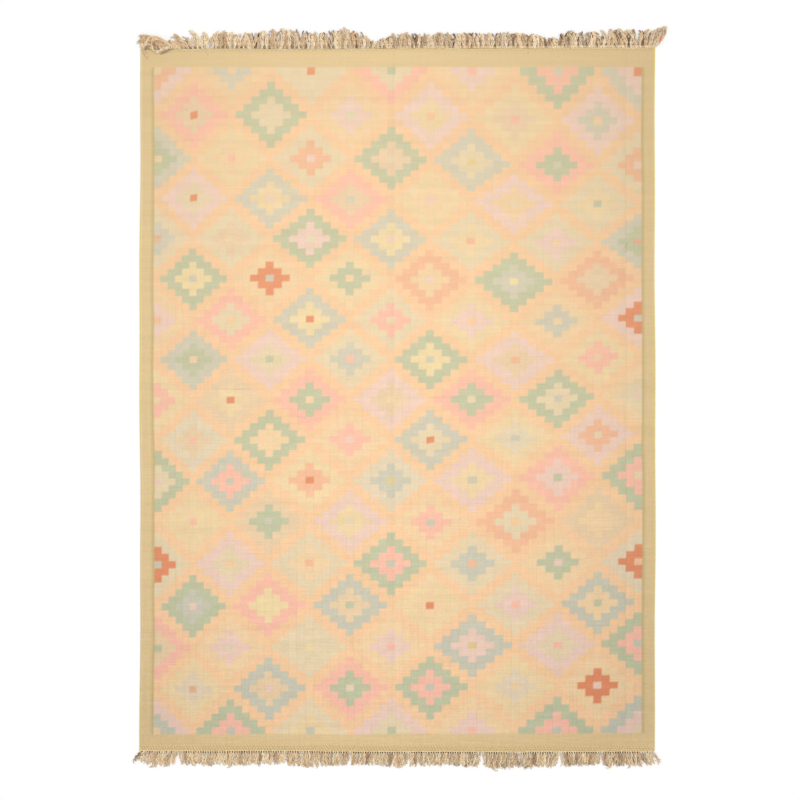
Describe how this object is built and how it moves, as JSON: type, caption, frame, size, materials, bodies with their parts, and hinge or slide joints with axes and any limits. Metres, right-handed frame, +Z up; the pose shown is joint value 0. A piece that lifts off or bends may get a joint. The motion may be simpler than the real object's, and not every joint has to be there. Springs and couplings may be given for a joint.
{
  "type": "kilim rug",
  "caption": "Flat-woven kilim rug lying flat, with stepped diamond medallions in faded pastel yarns, a plain sand border and a knotted fringe at each short end.",
  "frame": {"origin": "on the floor, at the middle of the rug with both of its fringes", "axes": "+X across the width, +Y along the length towards the fringe at the picture's top, +Z up"},
  "size_m": [2.5132, 3.5225, 0.0072],
  "materials": {
    "woven_field": "flat weft-faced weave, matte, sun-faded",
    "warp_fringe": "loose twisted warp yarns, knotted, matte"
  },
  "bodies": {
    "root": {"rug_cloth": "woven_field", "fringe_top": "warp_fringe", "fringe_bottom": "warp_fringe"}
  },
  "joints": []
}
